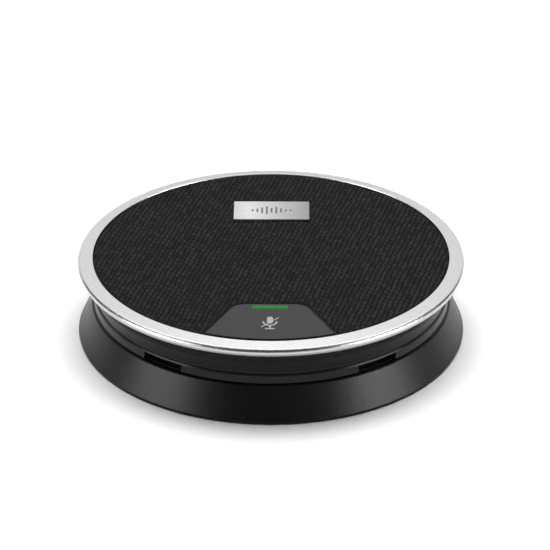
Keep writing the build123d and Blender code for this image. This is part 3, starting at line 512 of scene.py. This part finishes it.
slot_finish = {
    "satin_black": satin_base(),
    "neck_black": neck_black(),
    "cover_black": moulded("cover_black", (0.014, 0.014, 0.014), 0.6, 0.3 * MM, 0.02 * MM),
    "ring_metal": ring_metal(),
    "plate_metal": plate_metal(),
    "twill": twill(),
    "grille_black": moulded("grille_black", (0.01, 0.01, 0.01), 0.6, 0.4 * MM, 0.02 * MM),
    "key_grey": mute_key_grey(),
    "light_green": lit_green(),
    "symbol_grey": moulded("symbol_grey", (0.28, 0.28, 0.28), 0.5, 0.12 * MM, 0.004 * MM),
    "bar_paint": moulded("bar_paint", (0.09, 0.09, 0.09), 0.6, 0.1 * MM, 0.004 * MM),
    "mesh_black": mesh_cloth(),
    "foot_rubber": rubber(),
    "foam": foam(),
    "screw_steel": plated("screw_steel", (0.52, 0.52, 0.53)),
    "ballast_steel": rolled_steel(),
    "basket_steel": moulded("basket_steel", (0.02, 0.02, 0.02), 0.45, 0.5 * MM, 0.015 * MM),
    "plated_steel": plated("plated_steel", (0.6, 0.58, 0.5), 0.3),
    "ferrite": ferrite(),
    "board_green": board(),
    "chip_black": moulded("chip_black", (0.015, 0.015, 0.016), 0.55, 0.1 * MM, 0.01 * MM),
    "can_silver": plated("can_silver", (0.68, 0.68, 0.69), 0.25),
    "connector_white": moulded("connector_white", (0.62, 0.60, 0.54), 0.45),
    "socket_metal": plated("socket_metal", (0.62, 0.62, 0.63), 0.24),
    "tongue_black": moulded("tongue_black", (0.01, 0.01, 0.01), 0.45),
    "tab_brass": plated("tab_brass", (0.78, 0.58, 0.25), 0.25),
    "strip_tan": moulded("strip_tan", (0.30, 0.16, 0.07), 0.6, 0.4 * MM, 0.02 * MM),
    "wire_red": moulded("wire_red", (0.30, 0.02, 0.02), 0.35),
    "flex_amber": film("flex_amber", (0.36, 0.16, 0.03)),
    "capsule_metal": plated("capsule_metal", (0.66, 0.60, 0.45), 0.25),
    "led_white": moulded("led_white", (0.75, 0.75, 0.70), 0.25),
    "plunger_white": moulded("plunger_white", (0.60, 0.60, 0.58), 0.45),
    "cone_paper": paper(),
    "former_amber": film("former_amber", (0.30, 0.14, 0.03)),
    "winding_copper": winding(),
    "spider_cloth": cloth("spider_cloth", (0.42, 0.27, 0.08), 0.5 * MM),
}


def dress_cad_nodes():
    """Gives every CAD node the finish of its slot in the record."""
    for part in frame["record"]["subparts"]:
        obj = nodes[part["node"]]
        material = slot_finish[part["material_slot"]].material
        if not obj.material_slots:
            obj.data.materials.append(material)
        for slot in obj.material_slots:
            slot.material = material


dress_cad_nodes()


# ---------------------------------------------------------------- twill cover
cover_low, cover_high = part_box("fabric_cover")
key_low, key_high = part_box("mute_key")
plate_low, plate_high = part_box("nameplate")

COVER_RADIUS = (cover_high.x - cover_low.x) / 2
CROWN_TOP = cover_high.z
CROWN_DROP = 0.65 * MM
DOME_RADIUS = (COVER_RADIUS**2 + CROWN_DROP**2) / (2 * CROWN_DROP)
KEY_HALF = 10.4 * MM
KEY_SPREAD = 0.513
KEY_CORNER = 5.0 * MM
KEY_GAP = 0.5 * MM
KEY_LIP = 1.2 * MM  # of the key, hidden under the cover
KEY_INNER_Y = key_high.y - KEY_LIP
PLATE_Y = (plate_low.y + plate_high.y) / 2
PIN_X = 9.0 * MM
PIN_HOLE = 0.85 * MM
RIB_DEPTH = 0.32 * MM
FLOAT_LENGTH = 2.2 * MM  # one thread's stretch on top of the cloth
EDGE_ROLL = 0.7 * MM
EDGE_SKIRT = 0.5 * MM
RIB_COUNT = 512  # random starts, more than there are ribs
THREAD_COUNT = 4096  # random heights, shared out among the threads
THREAD_STRIDE = 61  # keeps neighbouring ribs from using the same heights


def crown(x, y):
    return CROWN_TOP - DOME_RADIUS + np.sqrt(DOME_RADIUS**2 - x**2 - y**2)


def edge_distance(x, y):
    """How far a point is inside the cover's outline: the round edge, the key's opening and the pin holes."""
    rim = COVER_RADIUS - np.hypot(x, y)
    # the opening is a wedge: past its inner edge, and between two slanting sides, with round corners
    slant = sqrt(1 + KEY_SPREAD**2)
    past = (y - KEY_INNER_Y) + KEY_CORNER
    beside = (np.abs(x) - KEY_HALF - KEY_SPREAD * (KEY_INNER_Y - y)) / slant + KEY_CORNER
    # where both are positive the nearest point is on the corner's circle
    tilt = KEY_SPREAD / slant
    corner = np.sqrt(np.maximum(past**2 + beside**2 - 2 * past * beside * tilt, 0)) / sqrt(1 - tilt**2)
    at_corner = (past > beside * tilt) & (beside > past * tilt)
    opening = np.where(at_corner, corner, np.maximum(past, beside)) - KEY_CORNER - KEY_GAP
    pins = np.minimum(np.hypot(x - PIN_X, y - PLATE_Y), np.hypot(x + PIN_X, y - PLATE_Y)) - PIN_HOLE
    return np.minimum(np.minimum(rim, opening), pins)


def ribs(x, y, draw):
    """Relief of the cloth, 0 in the valleys and 1 on the threads."""
    turn = radians(RIB_ANGLE)
    across = (x * sin(turn) - y * cos(turn)) / RIB_PITCH
    along = (x * cos(turn) + y * sin(turn)) / FLOAT_LENGTH
    slow_wander = 0.07 * np.sin(0.9 * along + 0.13 * across)
    quick_wander = 0.05 * np.sin(2.1 * along - 0.8 * across)
    across = across + slow_wander + quick_wander
    rib = np.floor(across).astype(int)
    # each rib's threads start at their own place, and each thread has its own height
    start = draw.random(RIB_COUNT)[rib % RIB_COUNT]
    step = along + 3 * start
    thread = np.floor(step).astype(int)
    height = draw.random(THREAD_COUNT)[(rib * THREAD_STRIDE + thread) % THREAD_COUNT]
    lean = 0.16 * (step - thread - 0.5)
    offset = across - rib - 0.5 + lean
    profile = np.clip(1 - (offset / 0.52) ** 2, 0, 1)
    ends = np.clip(1 - np.abs(2 * (step - thread) - 1) ** 4, 0, 1)
    return profile * (0.3 + 0.7 * ends) * (0.45 + 0.55 * height)


def make_cover():
    """A grid that runs with the ribs, cut to the outline, rolled down at its edges and raised into twill."""
    turn = radians(RIB_ANGLE)
    across_step = RIB_PITCH / 7
    along_step = 0.42 * MM
    reach = COVER_RADIUS + 1 * MM
    across, along = np.meshgrid(
        np.arange(-reach, reach, across_step),
        np.arange(-reach, reach, along_step),
        indexing="ij",
    )
    x = across * sin(turn) + along * cos(turn)
    y = -across * cos(turn) + along * sin(turn)
    inside = edge_distance(x, y) > 0.1 * MM
    quads = inside[:-1, :-1] & inside[1:, :-1] & inside[1:, 1:] & inside[:-1, 1:]
    index = np.arange(x.size).reshape(x.shape)
    i, j = np.nonzero(quads)
    faces = np.stack([index[i, j], index[i + 1, j], index[i + 1, j + 1], index[i, j + 1]], axis=1)
    used, faces = np.unique(faces, return_inverse=True)
    faces = faces.reshape(-1, 4)
    x, y = x.ravel()[used], y.ravel()[used]

    # vertices on the cut edge are pulled out to the outline
    edges = np.concatenate([faces[:, [k, (k + 1) % 4]] for k in range(4)])
    ordered = np.sort(edges, axis=1)
    pairs, first, uses = np.unique(ordered, axis=0, return_index=True, return_counts=True)
    rim_edges = edges[first[uses == 1]]
    rim = np.unique(rim_edges)
    nudge = 0.01 * MM
    for _ in range(6):
        here = edge_distance(x[rim], y[rim])
        slope_x = (edge_distance(x[rim] + nudge, y[rim]) - here) / nudge
        slope_y = (edge_distance(x[rim], y[rim] + nudge) - here) / nudge
        steep = np.maximum(slope_x**2 + slope_y**2, 0.2)
        x[rim] -= here * slope_x / steep
        y[rim] -= here * slope_y / steep

    draw = np.random.default_rng(SEED)
    relief = ribs(x, y, draw)
    inward = np.clip(edge_distance(x, y) / EDGE_ROLL, 0, 1)
    roll = EDGE_ROLL * (1 - np.sqrt(1 - (1 - inward) ** 2))
    # the nameplate presses the ribs flat
    half = size_of("nameplate") / 2
    under_plate = (np.abs(x) < half.x) & (np.abs(y - PLATE_Y) < half.y)
    relief_height = np.where(under_plate, 0.0, relief)
    z = crown(x, y) - RIB_DEPTH * (1 - relief_height) - roll

    # a skirt turns down all round the cut edge
    skirt = {v: len(x) + n for n, v in enumerate(rim)}
    points = np.concatenate([
        np.stack([x, y, z], axis=1),
        np.stack([x[rim], y[rim], z[rim] - EDGE_SKIRT], axis=1),
    ])
    hems = [[b, a, skirt[a], skirt[b]] for a, b in rim_edges]
    mesh = bpy.data.meshes.new("twill_cover")
    mesh.from_pydata(points.tolist(), [], faces.tolist() + hems)
    # the relief goes into the rib attribute, which the twill turns into painted shade in the valleys; the
    # turned-down skirt gets a low value, painted shade under the edge
    shade = mesh.attributes.new("rib", "FLOAT", "POINT")
    shade.data.foreach_set("value", np.concatenate([relief, relief[rim] * 0.3]).astype(np.float32))
    mesh.polygons.foreach_set("use_smooth", [True] * len(mesh.polygons))
    mesh.materials.append(slot_finish["twill"].material)
    mesh.update()
    cover = bpy.data.objects.new("twill_cover", mesh)
    bpy.context.scene.collection.objects.link(cover)
    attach(cover, "housing")
    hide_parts("fabric_cover")


make_cover()


# ---------------------------------------------------------------- paint in the nameplate's engraved bars
BAR_LENGTHS = [1.4, 2.6, 4.2, 5.6, 3.4, 4.8, 3.0, 1.8, 1.2]  # millimetres, as in the CAD model
BAR_PITCH = 1.5 * MM
BAR_WIDTH = 0.56 * MM
BAR_BOTTOM = 0.09 * MM  # below the plate's face
BAR_TOP = 0.03 * MM
BAR_CORNERS = 24
PLATE_THICKNESS = 0.5 * MM
PLATE_LIFT = 0.02 * MM
PLATE_TILT = sqrt(1 + (PLATE_Y / DOME_RADIUS) ** 2)
BAR_FACE = Vector((0, PLATE_Y, 0)) + Vector((0, PLATE_Y / DOME_RADIUS, 1)) / PLATE_TILT * PLATE_THICKNESS
BAR_FACE.z += float(crown(0.0, PLATE_Y)) + PLATE_LIFT


def make_bar_paint():
    """One thin slab with round ends in each engraved bar."""
    slope = -PLATE_Y / DOME_RADIUS
    along = Vector((0, 1, slope)).normalized()
    up = Vector((0, -slope, 1)).normalized()
    points = []
    faces = []
    for step, length in enumerate(BAR_LENGTHS):
        x = BAR_PITCH * (step - (len(BAR_LENGTHS) - 1) / 2)
        reach = (length * MM - BAR_WIDTH) / 2
        first = len(points)
        outline = []
        for corner in range(BAR_CORNERS):
            turn = 2 * pi * (corner + 0.5) / BAR_CORNERS
            side = 1 if sin(turn) > 0 else -1
            outline.append((x + BAR_WIDTH / 2 * cos(turn), side * reach + BAR_WIDTH / 2 * sin(turn)))
        for depth in (BAR_TOP, BAR_BOTTOM):
            points += [BAR_FACE + Vector((px, 0, 0)) + along * py - up * depth for px, py in outline]
        top = list(range(first, first + BAR_CORNERS))
        bottom = list(range(first + BAR_CORNERS, first + 2 * BAR_CORNERS))
        faces.append(top)
        faces.append(bottom[::-1])
        for corner in range(BAR_CORNERS):
            after = (corner + 1) % BAR_CORNERS
            faces.append([top[corner], bottom[corner], bottom[after], top[after]])
    mesh = bpy.data.meshes.new("bar_paint")
    mesh.from_pydata(points, [], faces)
    mesh.materials.append(slot_finish["bar_paint"].material)
    paint = bpy.data.objects.new("bar_paint", mesh)
    bpy.context.scene.collection.objects.link(paint)
    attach(paint, "housing")


make_bar_paint()


# ---------------------------------------------------------------- floor
FLOOR_RADIUS = 4.0
FLOOR_CORNERS = 96


def make_floor():
    finish = Finish("floor_pale", (0.86, 0.86, 0.86), 0.7)
    finish.shade(finish.noise(3, 2), 0.995, 1.005)
    turns = [2 * pi * step / FLOOR_CORNERS for step in range(FLOOR_CORNERS)]
    rim = [(FLOOR_RADIUS * cos(turn), FLOOR_RADIUS * sin(turn), 0) for turn in turns]
    mesh = bpy.data.meshes.new("floor")
    mesh.from_pydata(rim, [], [list(range(FLOOR_CORNERS))])
    mesh.materials.append(finish.material)
    floor = bpy.data.objects.new("floor", mesh)
    bpy.context.scene.collection.objects.link(floor)


make_floor()
